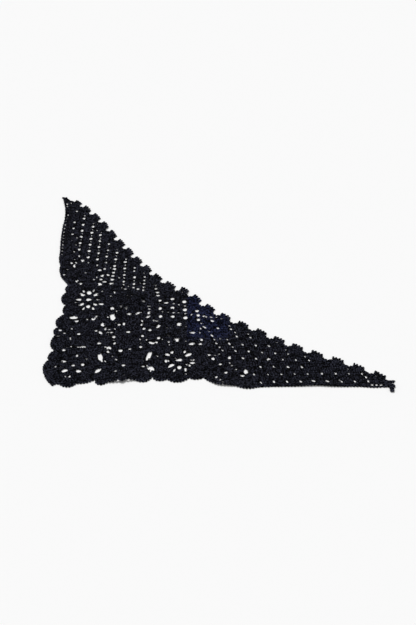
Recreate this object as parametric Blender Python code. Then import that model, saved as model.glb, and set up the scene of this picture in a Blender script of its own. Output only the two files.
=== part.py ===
"""Triangular crochet scarf lying flat: eight-petal motifs, two mesh wings and a shell edging."""
import math

import bpy
import bmesh
from mathutils import Vector
from mathutils.geometry import delaunay_2d_cdt

for thing in list(bpy.data.objects):
    bpy.data.objects.remove(thing, do_unlink=True)

# Driving sizes in metres. The right-angled corner lies at (0, 0), the legs along +X and +Y.
LEG = 0.640               # length of each leg
CLOTH = 0.0025            # thickness of a row of double crochet
SEAM = 0.0003             # space left between joined pieces
SEAM_STEP = 0.014         # longest straight run along a seam
ARC_STEP = 0.0075         # longest straight run round a petal
BORDER = 0.0052           # width of the border on the two legs
EDGING = 0.0082           # depth of the solid row under the shells
PETALS = 8                # petals of a whole motif
PETAL_RADIUS = 0.0395     # middle of a petal from the hub
PETAL_SPREAD = 0.0080     # how far the puff of a petal reaches
PETAL_RISE = 0.0006       # how far a petal puffs up
VALLEY_RADIUS = 0.0335    # between two petals
HUB_RADIUS = 0.0115       # solid ring round the hub
HUB_SPREAD = 0.0040       # half its width
HUB_RISE = 0.0005         # how far it stands up
MESH_POINT_STEP = 0.021   # spacing of the inner points of a wing
SMALL_HOLE = 0.0075       # openings under this width get six sides, wider ones eight
EDGE_MARGIN = 0.0035      # inner points stay this far from an edge
SAME_POINT = 0.0004       # points closer than this are one
KNOT_RISE = 0.0012        # how far the knotted yarn end stands above the cloth
KNOT_SPREAD = 0.0063      # how far the knot reaches

# Where four pieces meet, or two pieces meet the free edge.
JUNCTIONS = {
    "low_1": (0.0940, 0.0200), "low_2": (0.2000, 0.0290), "low_3": (0.2955, 0.0270),
    "side_1": (0.0150, 0.1090), "side_2": (0.0280, 0.2240), "side_3": (0.0285, 0.3210),
    "in_11": (0.1000, 0.1170), "in_21": (0.1965, 0.1330), "in_31": (0.2975, 0.1330),
    "in_12": (0.1190, 0.2170), "in_22": (0.2030, 0.2050), "in_32": (0.2890, 0.1990),
    "in_13": (0.1140, 0.3270), "in_23": (0.1880, 0.3000),
    "wing_l": (0.0065, 0.4030), "wing_li": (0.0117, 0.4040), "half_l": (0.0560, 0.4150),
    "half_lr": (0.0900, 0.3650), "wing_r": (0.3930, -0.0015), "wing_ri": (0.3922, 0.0037),
    "half_r": (0.3790, 0.0480), "half_rr": (0.3450, 0.0900),
    "split": (0.3060, 0.2240),
}

# Seams between pieces: two junctions, and how far the middle stands to the left of the run.
SEAMS = {
    "corner_mid": ("low_1", "in_11", -0.004), "mid_far": ("low_2", "in_21", 0.005),
    "far_half": ("low_3", "in_31", -0.003), "corner_side": ("side_1", "in_11", 0.003),
    "mid_inner": ("in_11", "in_21", -0.006), "far_right": ("in_21", "in_31", 0.006),
    "side_inner": ("in_11", "in_12", 0.0105), "inner_right": ("in_21", "in_22", -0.004),
    "right_mesh": ("in_31", "in_32", -0.003), "side_high": ("side_2", "in_12", -0.006),
    "inner_top": ("in_12", "in_22", 0.017), "right_top": ("in_22", "in_32", -0.009),
    "high_top": ("in_12", "in_13", 0.000), "high_half": ("side_3", "in_13", 0.001),
    "top_mesh": ("in_13", "in_23", -0.003), "top_side": ("in_22", "in_23", 0.008),
    "half_l_end": ("wing_l", "wing_li", 0.000), "half_l_top": ("wing_li", "half_l", 0.004),
    "half_l_out": ("half_l", "half_lr", 0.004), "half_l_in": ("half_lr", "in_13", 0.001),
    "half_r_end": ("wing_r", "wing_ri", 0.000), "half_r_out": ("wing_ri", "half_r", -0.003),
    "half_r_top": ("half_r", "half_rr", -0.005), "half_r_in": ("half_rr", "in_31", 0.000),
    "wings": ("in_32", "split", 0.000),
}

# Free edge of the block, anticlockwise from the left wing round the corner to the right wing.
# Each row is a notch and how far the petal after it stands out.
#  x        y       bulge
FREE_EDGE = [
    (0.0065, 0.4030, -0.0010), (0.0090, 0.3800, 0.0015), (0.0155, 0.3450, -0.0010),
    (0.0285, 0.3210, 0.0045), (0.0280, 0.2990, 0.0102), (0.0280, 0.2545, 0.0045),
    (0.0280, 0.2240, 0.0100), (0.0172, 0.1830, 0.0065), (0.0150, 0.1570, 0.0085),
    (0.0150, 0.1090, 0.0052), (0.0058, 0.0810, 0.0060), (0.0015, 0.0350, 0.0025),
    (0.0180, 0.0035, -0.0030), (0.0310, 0.0060, 0.0085), (0.0618, 0.0090, 0.0035),
    (0.0940, 0.0200, 0.0105), (0.1180, 0.0125, 0.0010), (0.1385, 0.0165, 0.0040),
    (0.1500, 0.0175, -0.0005), (0.1690, 0.0190, 0.0095), (0.2000, 0.0290, 0.0080),
    (0.2275, 0.0220, 0.0105), (0.2675, 0.0260, 0.0048), (0.2955, 0.0270, 0.0028),
    (0.3250, 0.0050, -0.0010), (0.3580, 0.0005, 0.0045), (0.3930, -0.0015, 0.0),
]

# Outer lines of the two wings, from the tip of the scarf to the block.
LEFT_LEG = [(0.0032, 0.6180), (0.0072, 0.5990), (0.0080, 0.5600), (0.0052, 0.5250),
            (0.0045, 0.4800), (0.0056, 0.4400), (0.0048, 0.4150), (0.0065, 0.4030)]
LOWER_LEG = [(0.3930, -0.0015), (0.4200, 0.0000), (0.4600, 0.0008), (0.5050, 0.0028),
             (0.5400, 0.0002), (0.5800, 0.0002), (0.6050, -0.0025), (0.6260, -0.0010)]

# Hollows between the shells of the long side, tip to tip, and the lead before each shell rises.
#  x        y       lead   height
SHELLS = [
    (0.0065, 0.6400, 0.50, 0.0090), (0.0375, 0.6070, 0.14, 0.0100), (0.0580, 0.5785, 0.14, 0.0105),
    (0.0775, 0.5475, 0.14, 0.0112), (0.0950, 0.5160, 0.14, 0.0112), (0.1125, 0.4825, 0.14, 0.0112),
    (0.1310, 0.4515, 0.14, 0.0112), (0.1490, 0.4200, 0.15, 0.0108), (0.1685, 0.3905, 0.16, 0.0110),
    (0.1875, 0.3600, 0.18, 0.0108), (0.2100, 0.3310, 0.18, 0.0118), (0.2395, 0.3035, 0.12, 0.0168),
    (0.2635, 0.2865, 0.24, 0.0120), (0.2870, 0.2580, 0.24, 0.0112), (0.3150, 0.2270, 0.26, 0.0112),
    (0.3470, 0.2005, 0.28, 0.0115), (0.3815, 0.1765, 0.28, 0.0115), (0.4150, 0.1500, 0.26, 0.0115),
    (0.4490, 0.1270, 0.26, 0.0110), (0.4835, 0.1060, 0.28, 0.0108), (0.5210, 0.0850, 0.28, 0.0110),
    (0.5590, 0.0660, 0.28, 0.0105), (0.5960, 0.0450, 0.28, 0.0105), (0.6330, 0.0180, 0.0, 0.0),
]

# Ends of the edging, and the knotted yarn end beside the right one.
LEFT_TIP = [(-0.0015, 0.6400), (0.0005, 0.6290)]
RIGHT_TIP = (0.6320, -0.0010)
KNOT = (0.6390, 0.0030)
TAIL = [(0.6320, -0.0010), (0.6362, -0.0040), (0.6392, -0.0150), (0.6412, -0.0100), (0.6432, -0.0010),
        (0.6455, 0.0030), (0.6420, 0.0085), (0.6455, 0.0140), (0.6445, 0.0185), (0.6400, 0.0180),
        (0.6330, 0.0180)]

# One shell in outline: share of its width after the lead, share of its height, picots included.
#  along   out
SHELL_FORM = [(0.00, 0.30), (0.03, 0.98), (0.12, 0.84), (0.22, 1.02), (0.34, 0.88),
              (0.46, 0.96), (0.56, 0.78), (0.68, 0.80), (0.78, 0.55), (0.86, 0.20)]

# Whole motifs: centre, hub opening, radii across and along of the ring of eight spaces, width of
# a space, and how far each is pulled open, anticlockwise from +X.
#  name                x       y       hub     across  along   space   how open
MOTIFS = [
    ("motif_corner", 0.0525, 0.0635, 0.0075, 0.0210, 0.0225, 0.0095,
     (0.0, 0.0, 0.0, 0.0, 0.0, 1.25, 0.0, 0.0)),
    ("motif_base_mid", 0.1460, 0.0642, 0.0075, 0.0205, 0.0250, 0.0065,
     (0.0, 0.0, 0.0, 0.8, 0.0, 0.9, 0.0, 0.0)),
    ("motif_base_far", 0.2500, 0.0805, 0.0000, 0.0240, 0.0230, 0.0098,
     (0.8, 0.0, 0.0, 0.0, 0.0, 0.0, 1.1, 0.9)),
    ("motif_side_low", 0.0575, 0.1615, 0.0075, 0.0205, 0.0240, 0.0062,
     (0.0, 0.0, 0.0, 0.8, 0.0, 0.8, 0.0, 0.0)),
    ("motif_inner", 0.1515, 0.1680, 0.0085, 0.0240, 0.0240, 0.0065,
     (0.0, 0.0, 0.0, 0.0, 0.0, 0.0, 0.0, 0.0)),
    ("motif_inner_right", 0.2480, 0.1655, 0.0000, 0.0250, 0.0220, 0.0095,
     (1.1, 0.0, 0.0, 0.6, 0.0, 0.0, 0.0, 0.0)),
    ("motif_side_high", 0.0710, 0.2735, 0.0112, 0.0185, 0.0228, 0.0110,
     (0.6, 1.0, 1.1, 1.05, 1.0, 1.05, 0.95, 0.8)),
    ("motif_inner_top", 0.1500, 0.2700, 0.0000, 0.0240, 0.0240, 0.0062,
     (0.0, 0.0, 0.0, 0.0, 0.0, 0.0, 0.0, 0.0)),
]

# Half motifs: middle of the straight side.
HALF_MOTIFS = [("half_motif_left", 0.0560, 0.3440), ("half_motif_right", 0.3330, 0.0400)]

# Spaces that the joins leave open between motifs: middle, size, and turn in degrees.
#  x        y       width   height  turn
JOIN_SPACES = [
    (0.0455, 0.2145, 0.0175, 0.0115, 0), (0.0880, 0.2155, 0.0060, 0.0110, -30),
    (0.1180, 0.2440, 0.0045, 0.0130, 6), (0.1195, 0.2160, 0.0110, 0.0240, -8),
    (0.1025, 0.1920, 0.0060, 0.0150, 0), (0.0985, 0.1655, 0.0045, 0.0125, 12),
    (0.1135, 0.1665, 0.0045, 0.0060, 0), (0.1520, 0.2255, 0.0075, 0.0050, 25),
    (0.1690, 0.2285, 0.0130, 0.0065, 25), (0.0320, 0.1115, 0.0070, 0.0070, 0),
    (0.0675, 0.1205, 0.0140, 0.0050, 8), (0.1020, 0.0870, 0.0060, 0.0290, 10),
    (0.0995, 0.0485, 0.0060, 0.0190, -24), (0.1155, 0.1175, 0.0085, 0.0085, 0),
    (0.1390, 0.1090, 0.0085, 0.0085, 0), (0.1560, 0.1145, 0.0060, 0.0075, 0),
    (0.1770, 0.1200, 0.0065, 0.0055, 0), (0.1925, 0.0930, 0.0055, 0.0320, -12),
    (0.1965, 0.0545, 0.0090, 0.0180, 30), (0.1825, 0.0605, 0.0060, 0.0070, 0),
    (0.2075, 0.1860, 0.0050, 0.0150, -28), (0.1965, 0.1325, 0.0085, 0.0075, 0),
    (0.2060, 0.1350, 0.0070, 0.0050, 0), (0.2445, 0.1425, 0.0105, 0.0100, 0),
    (0.2730, 0.1310, 0.0120, 0.0090, 10), (0.2470, 0.1925, 0.0110, 0.0095, 0),
    (0.2900, 0.1430, 0.0050, 0.0090, 0), (0.0450, 0.3370, 0.0045, 0.0095, 10),
    (0.0525, 0.3265, 0.0060, 0.0070, 0), (0.0900, 0.3260, 0.0105, 0.0085, 5),
    (0.0175, 0.3585, 0.0065, 0.0060, 0), (0.0305, 0.3990, 0.0055, 0.0060, 0),
    (0.0365, 0.3890, 0.0045, 0.0125, 0), (0.0520, 0.4085, 0.0075, 0.0100, 15),
    (0.0915, 0.3425, 0.0060, 0.0080, 20), (0.0990, 0.3340, 0.0080, 0.0070, -30),
    (0.0945, 0.3550, 0.0060, 0.0090, 0), (0.0875, 0.3740, 0.0055, 0.0080, 30),
    (0.3125, 0.0840, 0.0065, 0.0085, 0), (0.3050, 0.0955, 0.0070, 0.0060, 0),
    (0.3740, 0.0450, 0.0075, 0.0160, 0), (0.3665, 0.0325, 0.0070, 0.0070, 0),
    (0.2025, 0.2035, 0.0110, 0.0050, -35), (0.1880, 0.2175, 0.0100, 0.0065, 25),
    (0.0511, 0.2029, 0.0090, 0.0072, 5), (0.0822, 0.2100, 0.0085, 0.0078, 25),
    (0.0978, 0.1322, 0.0045, 0.0095, 0), (0.2887, 0.1298, 0.0062, 0.0090, 0),
    (0.1418, 0.3112, 0.0058, 0.0078, 0), (0.1900, 0.2305, 0.0046, 0.0100, -12),
]

# Single spaces between the petals that pulling has opened: middle, size, and turn in degrees.
PULLED_SPACES = [
    (0.0580, 0.0935, 0.0045, 0.0075, 0), (0.0700, 0.0660, 0.0042, 0.0095, 8),
    (0.0300, 0.1640, 0.0045, 0.0060, 20), (0.0215, 0.1735, 0.0042, 0.0085, 0),
    (0.0195, 0.1525, 0.0045, 0.0065, 0), (0.0905, 0.1715, 0.0042, 0.0070, 10),
    (0.1145, 0.1760, 0.0050, 0.0055, 0), (0.1195, 0.1665, 0.0055, 0.0068, 0),
    (0.1245, 0.1520, 0.0045, 0.0090, 12), (0.1330, 0.1915, 0.0050, 0.0072, -30),
    (0.1420, 0.1940, 0.0046, 0.0090, 0), (0.1790, 0.1555, 0.0042, 0.0085, -8),
    (0.2095, 0.1485, 0.0042, 0.0090, 12), (0.2292, 0.1375, 0.0050, 0.0060, 0),
    (0.2357, 0.1035, 0.0060, 0.0095, -15), (0.2590, 0.1052, 0.0045, 0.0085, 0),
    (0.2405, 0.0490, 0.0044, 0.0090, -15), (0.2615, 0.0515, 0.0042, 0.0110, 0),
    (0.0595, 0.3015, 0.0042, 0.0090, 15), (0.0785, 0.3035, 0.0046, 0.0090, -8),
    (0.0620, 0.2435, 0.0044, 0.0095, -12), (0.0810, 0.2435, 0.0044, 0.0095, 10),
    (0.1355, 0.2500, 0.0055, 0.0065, 0), (0.1455, 0.2440, 0.0045, 0.0080, 0),
    (0.1775, 0.2665, 0.0042, 0.0085, 10), (0.1200, 0.2975, 0.0042, 0.0090, 0),
    (0.3360, 0.0420, 0.0068, 0.0078, 0), (0.3262, 0.0670, 0.0062, 0.0062, 0),
    (0.3182, 0.0285, 0.0044, 0.0075, 0), (0.3255, 0.0198, 0.0046, 0.0058, 0),
    (0.1055, 0.3570, 0.0050, 0.0085, 40), (0.1275, 0.3485, 0.0050, 0.0060, 30),
    (0.0340, 0.0757, 0.0088, 0.0078, 10), (0.0633, 0.0463, 0.0092, 0.0082, 10),
    (0.2490, 0.0805, 0.0145, 0.0098, 4), (0.2658, 0.0955, 0.0145, 0.0088, 40),
    (0.2270, 0.0968, 0.0098, 0.0080, -35), (0.2266, 0.0775, 0.0075, 0.0112, 0),
    (0.2345, 0.0630, 0.0150, 0.0088, 50), (0.2744, 0.0711, 0.0095, 0.0072, -10),
    (0.0956, 0.2589, 0.0105, 0.0068, -8), (0.0956, 0.3007, 0.0044, 0.0062, 0),
    (0.1156, 0.1056, 0.0052, 0.0085, 0), (0.1084, 0.1767, 0.0043, 0.0110, 0),
    (0.1811, 0.1789, 0.0044, 0.0090, 0), (0.1922, 0.1733, 0.0044, 0.0090, 0),
    (0.1767, 0.1922, 0.0044, 0.0085, 0), (0.3434, 0.0878, 0.0048, 0.0090, 0),
    (0.1267, 0.1322, 0.0043, 0.0080, 0), (0.0478, 0.0300, 0.0060, 0.0062, 0),
    (0.3544, 0.0515, 0.0042, 0.0056, 0),
]

# Single openings in the mesh wings, off the rows below: middle, size, and turn in degrees.
MESH_SPACES = [
    (0.0303, 0.5885, 0.0046, 0.0058, 0), (0.0485, 0.5724, 0.0042, 0.0060, 0),
    (0.0682, 0.5424, 0.0050, 0.0062, 0), (0.0440, 0.4240, 0.0042, 0.0070, 0),
    (0.1388, 0.4135, 0.0052, 0.0072, 0), (0.1168, 0.3782, 0.0056, 0.0080, 0),
    (0.1147, 0.3541, 0.0056, 0.0072, 0), (0.1562, 0.3135, 0.0058, 0.0072, 0),
    (0.2222, 0.2630, 0.0090, 0.0056, 0), (0.3439, 0.1878, 0.0066, 0.0058, 0),
    (0.3056, 0.1695, 0.0056, 0.0062, 0), (0.3149, 0.1441, 0.0056, 0.0062, 0),
    (0.3263, 0.1464, 0.0085, 0.0046, 0), (0.3393, 0.1441, 0.0056, 0.0062, 0),
    (0.4849, 0.0905, 0.0062, 0.0064, 0), (0.5941, 0.0276, 0.0056, 0.0085, 0),
    (0.4002, 0.0122, 0.0046, 0.0095, 15),
]

# Rows of openings in the mesh wings: first and last opening, how many, and their size.
#  x first  y first  x last   y last   count  width  height
MESH_ROWS = [
    (0.0280, 0.5470, 0.0265, 0.5030, 3, 0.0042, 0.0068),
    (0.0470, 0.5610, 0.0430, 0.4480, 6, 0.0048, 0.0082),
    (0.0665, 0.5310, 0.0625, 0.4200, 6, 0.0056, 0.0080),
    (0.0835, 0.5000, 0.0810, 0.3910, 6, 0.0050, 0.0078),
    (0.1020, 0.4670, 0.0975, 0.3785, 5, 0.0046, 0.0072),
    (0.1195, 0.4355, 0.1155, 0.3660, 4, 0.0050, 0.0076),
    (0.1135, 0.3415, 0.1130, 0.3275, 2, 0.0078, 0.0078),
    (0.1375, 0.4030, 0.1365, 0.3350, 4, 0.0060, 0.0070),
    (0.1570, 0.3825, 0.1560, 0.3710, 2, 0.0046, 0.0065),
    (0.1580, 0.3495, 0.1580, 0.3265, 2, 0.0050, 0.0082),
    (0.1785, 0.3510, 0.1775, 0.3155, 4, 0.0055, 0.0058),
    (0.1650, 0.3085, 0.1755, 0.3042, 2, 0.0068, 0.0068),
    (0.2000, 0.3215, 0.2010, 0.3100, 2, 0.0058, 0.0058),
    (0.2040, 0.2980, 0.2055, 0.2875, 2, 0.0072, 0.0058),
    (0.2095, 0.2700, 0.2120, 0.2180, 3, 0.0056, 0.0100),
    (0.2335, 0.2755, 0.2350, 0.2175, 3, 0.0066, 0.0088),
    (0.2360, 0.2605, 0.2365, 0.2305, 2, 0.0055, 0.0045),
    (0.2570, 0.2665, 0.2595, 0.2135, 3, 0.0072, 0.0104),
    (0.2585, 0.2530, 0.2600, 0.2270, 2, 0.0050, 0.0042),
    (0.1885, 0.2510, 0.1908, 0.2310, 3, 0.0050, 0.0050),
    (0.2820, 0.2360, 0.2850, 0.2075, 3, 0.0068, 0.0085),
    (0.2970, 0.2185, 0.3085, 0.2160, 2, 0.0085, 0.0060),
    (0.2890, 0.1935, 0.3110, 0.2035, 2, 0.0066, 0.0085),
    (0.2975, 0.1820, 0.3465, 0.1775, 3, 0.0062, 0.0078),
    (0.3575, 0.1540, 0.3835, 0.1505, 2, 0.0048, 0.0080),
    (0.3185, 0.1330, 0.4175, 0.1240, 5, 0.0055, 0.0085),
    (0.3300, 0.1100, 0.4535, 0.0995, 6, 0.0048, 0.0066),
    (0.3435, 0.0875, 0.4910, 0.0795, 7, 0.0055, 0.0076),
    (0.4000, 0.0595, 0.4775, 0.0585, 4, 0.0060, 0.0078),
    (0.3880, 0.0365, 0.5885, 0.0385, 9, 0.0052, 0.0066),
    (0.4240, 0.0145, 0.5980, 0.0155, 8, 0.0058, 0.0086),
]

# Soft lifts of the cloth off the surface it lies on: middle, reach, turn and height.
#  x        y       reach_x reach_y turn   height
LIFTS = [
    (0.1500, 0.2710, 0.0420, 0.0400, 0, 0.0075), (0.2400, 0.1640, 0.0430, 0.0260, 5, 0.0038),
    (0.1450, 0.0200, 0.0420, 0.0170, 4, 0.0042), (0.0200, 0.1400, 0.0160, 0.0420, 0, 0.0022),
    (0.3320, 0.0080, 0.0420, 0.0170, -6, 0.0024), (0.2100, 0.3200, 0.0300, 0.0170, -45, 0.0022),
    (0.5100, 0.0060, 0.0800, 0.0150, 0, 0.0016), (0.0900, 0.5300, 0.0180, 0.0450, 28, 0.0014),
    (0.4000, 0.1600, 0.0550, 0.0160, -32, 0.0018), (0.2700, 0.2850, 0.0260, 0.0180, -45, 0.0026),
]

YARN_COLOUR = (0.0098, 0.0101, 0.0137, 1.0)
YARN_ROUGHNESS = 0.86


def lift_at(x, y):
    """Height of the cloth's underside."""
    height = 0.0
    for mx, my, reach_x, reach_y, turn, rise in LIFTS:
        a = math.radians(turn)
        u = ((x - mx) * math.cos(a) + (y - my) * math.sin(a)) / reach_x
        v = (-(x - mx) * math.sin(a) + (y - my) * math.cos(a)) / reach_y
        d = math.sqrt(u * u + v * v)
        if d < 1.0:
            height += rise * (0.5 + 0.5 * math.cos(math.pi * d))
    return height


def arc(start, end, bulge, step):
    """Points from start up to, not including, end, bowed to the right of the run by bulge."""
    chord = end - start
    count = max(1, math.ceil((chord.length + 1.6 * abs(bulge)) / step))
    out = Vector((chord.y, -chord.x)).normalized()
    return [start + chord * (i / count) + out * (bulge * math.sin(math.pi * i / count) ** 0.8)
            for i in range(count)]


def seam(name):
    """Both ends and the points between of a seam."""
    first, last, bow = SEAMS[name]
    start = Vector(JUNCTIONS[first])
    end = Vector(JUNCTIONS[last])
    return arc(start, end, -bow, SEAM_STEP) + [end]


def run(*pieces):
    """Joins runs of points head to tail; a name starting with '-' is a seam taken backwards."""
    line = []
    for piece in pieces:
        if isinstance(piece, str):
            points = seam(piece[1:])[::-1] if piece[0] == "-" else seam(piece)
        else:
            points = piece
        for p in points:
            if not line or (p - line[-1]).length > SAME_POINT:
                line.append(p)
    if (line[0] - line[-1]).length < SAME_POINT:
        line.pop()
    return line


def free_edge(first, last):
    """The scalloped edge of the block from one junction to another."""
    start = Vector(JUNCTIONS[first])
    end = Vector(JUNCTIONS[last])
    rows = [(Vector((x, y)), b) for x, y, b in FREE_EDGE]
    i0 = min(range(len(rows)), key=lambda i: (rows[i][0] - start).length)
    i1 = min(range(len(rows)), key=lambda i: (rows[i][0] - end).length)
    line = []
    for i in range(i0, i1):
        line += arc(rows[i][0], rows[i + 1][0], rows[i][1], ARC_STEP)
    return line + [rows[i1][0]]


def smooth(points, step):
    """A curve through the points (Catmull-Rom), sampled at about one step."""
    pts = [Vector(p) for p in points]
    pts = [pts[0] * 2 - pts[1]] + pts + [pts[-1] * 2 - pts[-2]]
    line = []
    for i in range(1, len(pts) - 2):
        a, b, c, d = pts[i - 1:i + 3]
        count = max(1, math.ceil((c - b).length / step))
        for k in range(count):
            t = k / count
            line.append(0.5 * (2 * b + (c - a) * t + (2 * a - 5 * b + 4 * c - d) * t * t
                               + (3 * b - a - 3 * c + d) * t ** 3))
    return line + [pts[-2]]


def offset(line, distance):
    """The line moved to its left."""
    moved = []
    for i, p in enumerate(line):
        along = (line[min(i + 1, len(line) - 1)] - line[max(i - 1, 0)]).normalized()
        moved.append(p + Vector((-along.y, along.x)) * distance)
    return moved


def shell_edge():
    """The long side's outline, from the left tip to the right one."""
    line = []
    for (x, y, lead, height), after in zip(SHELLS, SHELLS[1:]):
        start = Vector((x, y))
        chord = Vector(after[:2]) - start
        out = Vector((-chord.y, chord.x)).normalized()
        line.append(start)
        line.append(start + chord * (lead * 0.6) + out * (height * max(-0.08, 0.33 - 1.5 * lead)))
        for along, share in SHELL_FORM:
            line.append(start + chord * (lead + (1.0 - lead) * along) + out * (height * share))
    return line + [Vector(SHELLS[-1][:2])]


def ellipse(x, y, width, height, turn):
    """An opening's outline."""
    sides = 6 if max(width, height) < SMALL_HOLE else 8
    a = math.radians(turn)
    points = []
    for i in range(sides):
        t = 2 * math.pi * (i + 0.5) / sides
        u = 0.5 * width * math.cos(t)
        v = 0.5 * height * math.sin(t)
        points.append(Vector((x + u * math.cos(a) - v * math.sin(a), y + u * math.sin(a) + v * math.cos(a))))
    return points


def inside(p, line):
    """True where the point is within the closed line."""
    odd = False
    for a, b in zip(line, line[1:] + line[:1]):
        if (a.y > p.y) != (b.y > p.y) and p.x < a.x + (p.y - a.y) * (b.x - a.x) / (b.y - a.y):
            odd = not odd
    return odd


def gap_to(p, line):
    """Distance from a point to a closed line."""
    nearest = 1.0
    for a, b in zip(line, line[1:] + line[:1]):
        ab = b - a
        t = max(0.0, min(1.0, (p - a).dot(ab) / ab.length_squared))
        nearest = min(nearest, (p - a - ab * t).length)
    return nearest


def pull_in(line, distance):
    """The closed anticlockwise line moved inwards."""
    moved = []
    for i, p in enumerate(line):
        before = (p - line[i - 1]).normalized()
        after = (line[(i + 1) % len(line)] - p).normalized()
        n = Vector((-before.y - after.y, before.x + after.x))
        n.normalize()
        scale = max(0.45, n.dot(Vector((-after.y, after.x))))
        moved.append(p + n * (distance / scale))
    return moved


def largest_patch(faces):
    """Faces joined edge to edge, the largest such set."""
    by_edge = {}
    for i, f in enumerate(faces):
        for a, b in zip(f, f[1:] + f[:1]):
            by_edge.setdefault(frozenset((a, b)), []).append(i)
    left = set(range(len(faces)))
    best = []
    while left:
        todo = [min(left)]
        patch = []
        left.discard(todo[0])
        while todo:
            i = todo.pop()
            patch.append(i)
            f = faces[i]
            for a, b in zip(f, f[1:] + f[:1]):
                for j in by_edge[frozenset((a, b))]:
                    if j in left:
                        left.discard(j)
                        todo.append(j)
        if len(patch) > len(best):
            best = patch
    return [faces[i] for i in sorted(best)]


def cloth(name, outline, openings, points, relief):
    """A piece of cloth: outline less openings, given its thickness and its lie."""
    outline = pull_in(outline, SEAM / 2)
    near = [o for o in openings if any(inside(p, outline) for p in o)]
    kept = [p for p in points if inside(p, outline) and gap_to(p, outline) > EDGE_MARGIN
            and all(not inside(p, o) and gap_to(p, o) > EDGE_MARGIN for o in near)]
    loops = [outline] + near
    coords = []
    faces = []
    for loop in loops:
        faces.append(list(range(len(coords), len(coords) + len(loop))))
        coords += loop
    coords += kept
    found = delaunay_2d_cdt(coords, [], faces, 1, 1e-6, True)
    plan = found[0]
    tris = [list(f) for f, owners in zip(found[2], found[5]) if list(owners) == [0]]
    tris = largest_patch(tris)
    bm = bmesh.new()
    verts = {}
    for f in tris:
        for i in f:
            if i not in verts:
                verts[i] = bm.verts.new((plan[i].x, plan[i].y, 0.0))
    for f in tris:
        bm.faces.new([verts[i] for i in f])
    sheet = list(bm.faces)
    raised = bmesh.ops.extrude_face_region(bm, geom=sheet)
    for v in raised["geom"]:
        if isinstance(v, bmesh.types.BMVert):
            v.co.z = lift_at(v.co.x, v.co.y) + CLOTH + relief(v.co.x, v.co.y)
    top = {v for v in raised["geom"] if isinstance(v, bmesh.types.BMVert)}
    for v in bm.verts:
        if v not in top:
            v.co.z = lift_at(v.co.x, v.co.y)
    bmesh.ops.recalc_face_normals(bm, faces=bm.faces)
    mesh = bpy.data.meshes.new(name)
    bm.to_mesh(mesh)
    bm.free()
    material = bpy.data.materials.new("cotton_" + name)
    material.use_nodes = True
    shader = material.node_tree.nodes["Principled BSDF"]
    shader.inputs["Base Color"].default_value = YARN_COLOUR
    shader.inputs["Roughness"].default_value = YARN_ROUGHNESS
    shader.inputs["Metallic"].default_value = 0.0
    mesh.materials.append(material)
    piece = bpy.data.objects.new(name, mesh)
    bpy.context.scene.collection.objects.link(piece)
    print(name, len(mesh.polygons))
    return piece


def flat(x, y):
    """No relief."""
    return 0.0


def knot_relief(x, y):
    """The knotted end's extra height."""
    d = math.hypot(x - KNOT[0], y - KNOT[1])
    return KNOT_RISE * math.exp(-(d / KNOT_SPREAD) ** 2)


def ring(x, y, radius, count, start):
    """Points round a centre."""
    return [Vector((x + radius * math.cos(start + 2 * math.pi * i / count),
                    y + radius * math.sin(start + 2 * math.pi * i / count))) for i in range(count)]


def motif(name, outline, x, y, hub, across, along, space, openness):
    """An eight-petal motif in its cell."""
    openings = list(odd_spaces)
    if hub > 0:
        openings.append(ellipse(x, y, hub, hub * 0.95, 10))
    for i, share in enumerate(openness):
        a = 2 * math.pi * i / PETALS
        if share > 0:
            openings.append(ellipse(x + across * math.cos(a), y + along * math.sin(a),
                                    space * share, space * share * 0.8, math.degrees(a)))

    def relief(px, py):
        r = math.hypot(px - x, py - y)
        a = math.atan2(py - y, px - x)
        swell = PETAL_RISE * math.exp(-((r - PETAL_RADIUS) / PETAL_SPREAD) ** 2)
        collar = HUB_RISE * math.exp(-((r - HUB_RADIUS) / HUB_SPREAD) ** 2)
        return swell * (0.45 + 0.55 * math.cos(PETALS * a)) + collar

    points = ring(x, y, PETAL_RADIUS, PETALS, 0) + ring(x, y, VALLEY_RADIUS, PETALS, math.pi / PETALS)
    return cloth(name, outline, openings, points + ring(x, y, HUB_RADIUS, 6, 0), relief)


def half_motif(name, outline, x, y):
    """Half a motif, its petals fanning out from a straight side."""
    points = ring(x, y, VALLEY_RADIUS, 10, 0.2) + ring(x, y, HUB_RADIUS, 5, 0)
    return cloth(name, outline, odd_spaces, points, flat)


def grid(x0, x1, y0, y1, step):
    """Staggered rows of points over a rectangle."""
    points = []
    row = 0
    y = y0
    while y < y1:
        x = x0 + (step / 2 if row % 2 else 0.0)
        while x < x1:
            points.append(Vector((x, y)))
            x += step
        y += step * 0.87
        row += 1
    return points


odd_spaces = [ellipse(*row) for row in JOIN_SPACES + PULLED_SPACES]
mesh_spaces = [ellipse(*row) for row in MESH_SPACES]
for x0, y0, x1, y1, count, width, height in MESH_ROWS:
    for i in range(count):
        t = i / (count - 1)
        mesh_spaces.append(ellipse(x0 + (x1 - x0) * t, y0 + (y1 - y0) * t, width, height, 0))

outlines = {
    "motif_corner": run(free_edge("side_1", "low_1"), "corner_mid", "-corner_side"),
    "motif_base_mid": run(free_edge("low_1", "low_2"), "mid_far", "-mid_inner", "-corner_mid"),
    "motif_base_far": run(free_edge("low_2", "low_3"), "far_half", "-far_right", "-mid_far"),
    "motif_side_low": run(free_edge("side_2", "side_1"), "corner_side", "side_inner", "-side_high"),
    "motif_inner": run("mid_inner", "inner_right", "-inner_top", "-side_inner"),
    "motif_inner_right": run("far_right", "right_mesh", "-right_top", "-inner_right"),
    "motif_side_high": run(free_edge("side_3", "side_2"), "side_high", "high_top", "-high_half"),
    "motif_inner_top": run("inner_top", "top_side", "-top_mesh", "-high_top"),
    "half_motif_left": run(free_edge("wing_l", "side_3"), "high_half", "-half_l_in", "-half_l_out",
                           "-half_l_top", "-half_l_end"),
    "half_motif_right": run(free_edge("low_3", "wing_r"), "half_r_end", "half_r_out", "half_r_top",
                            "half_r_in", "-far_half"),
}

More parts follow.
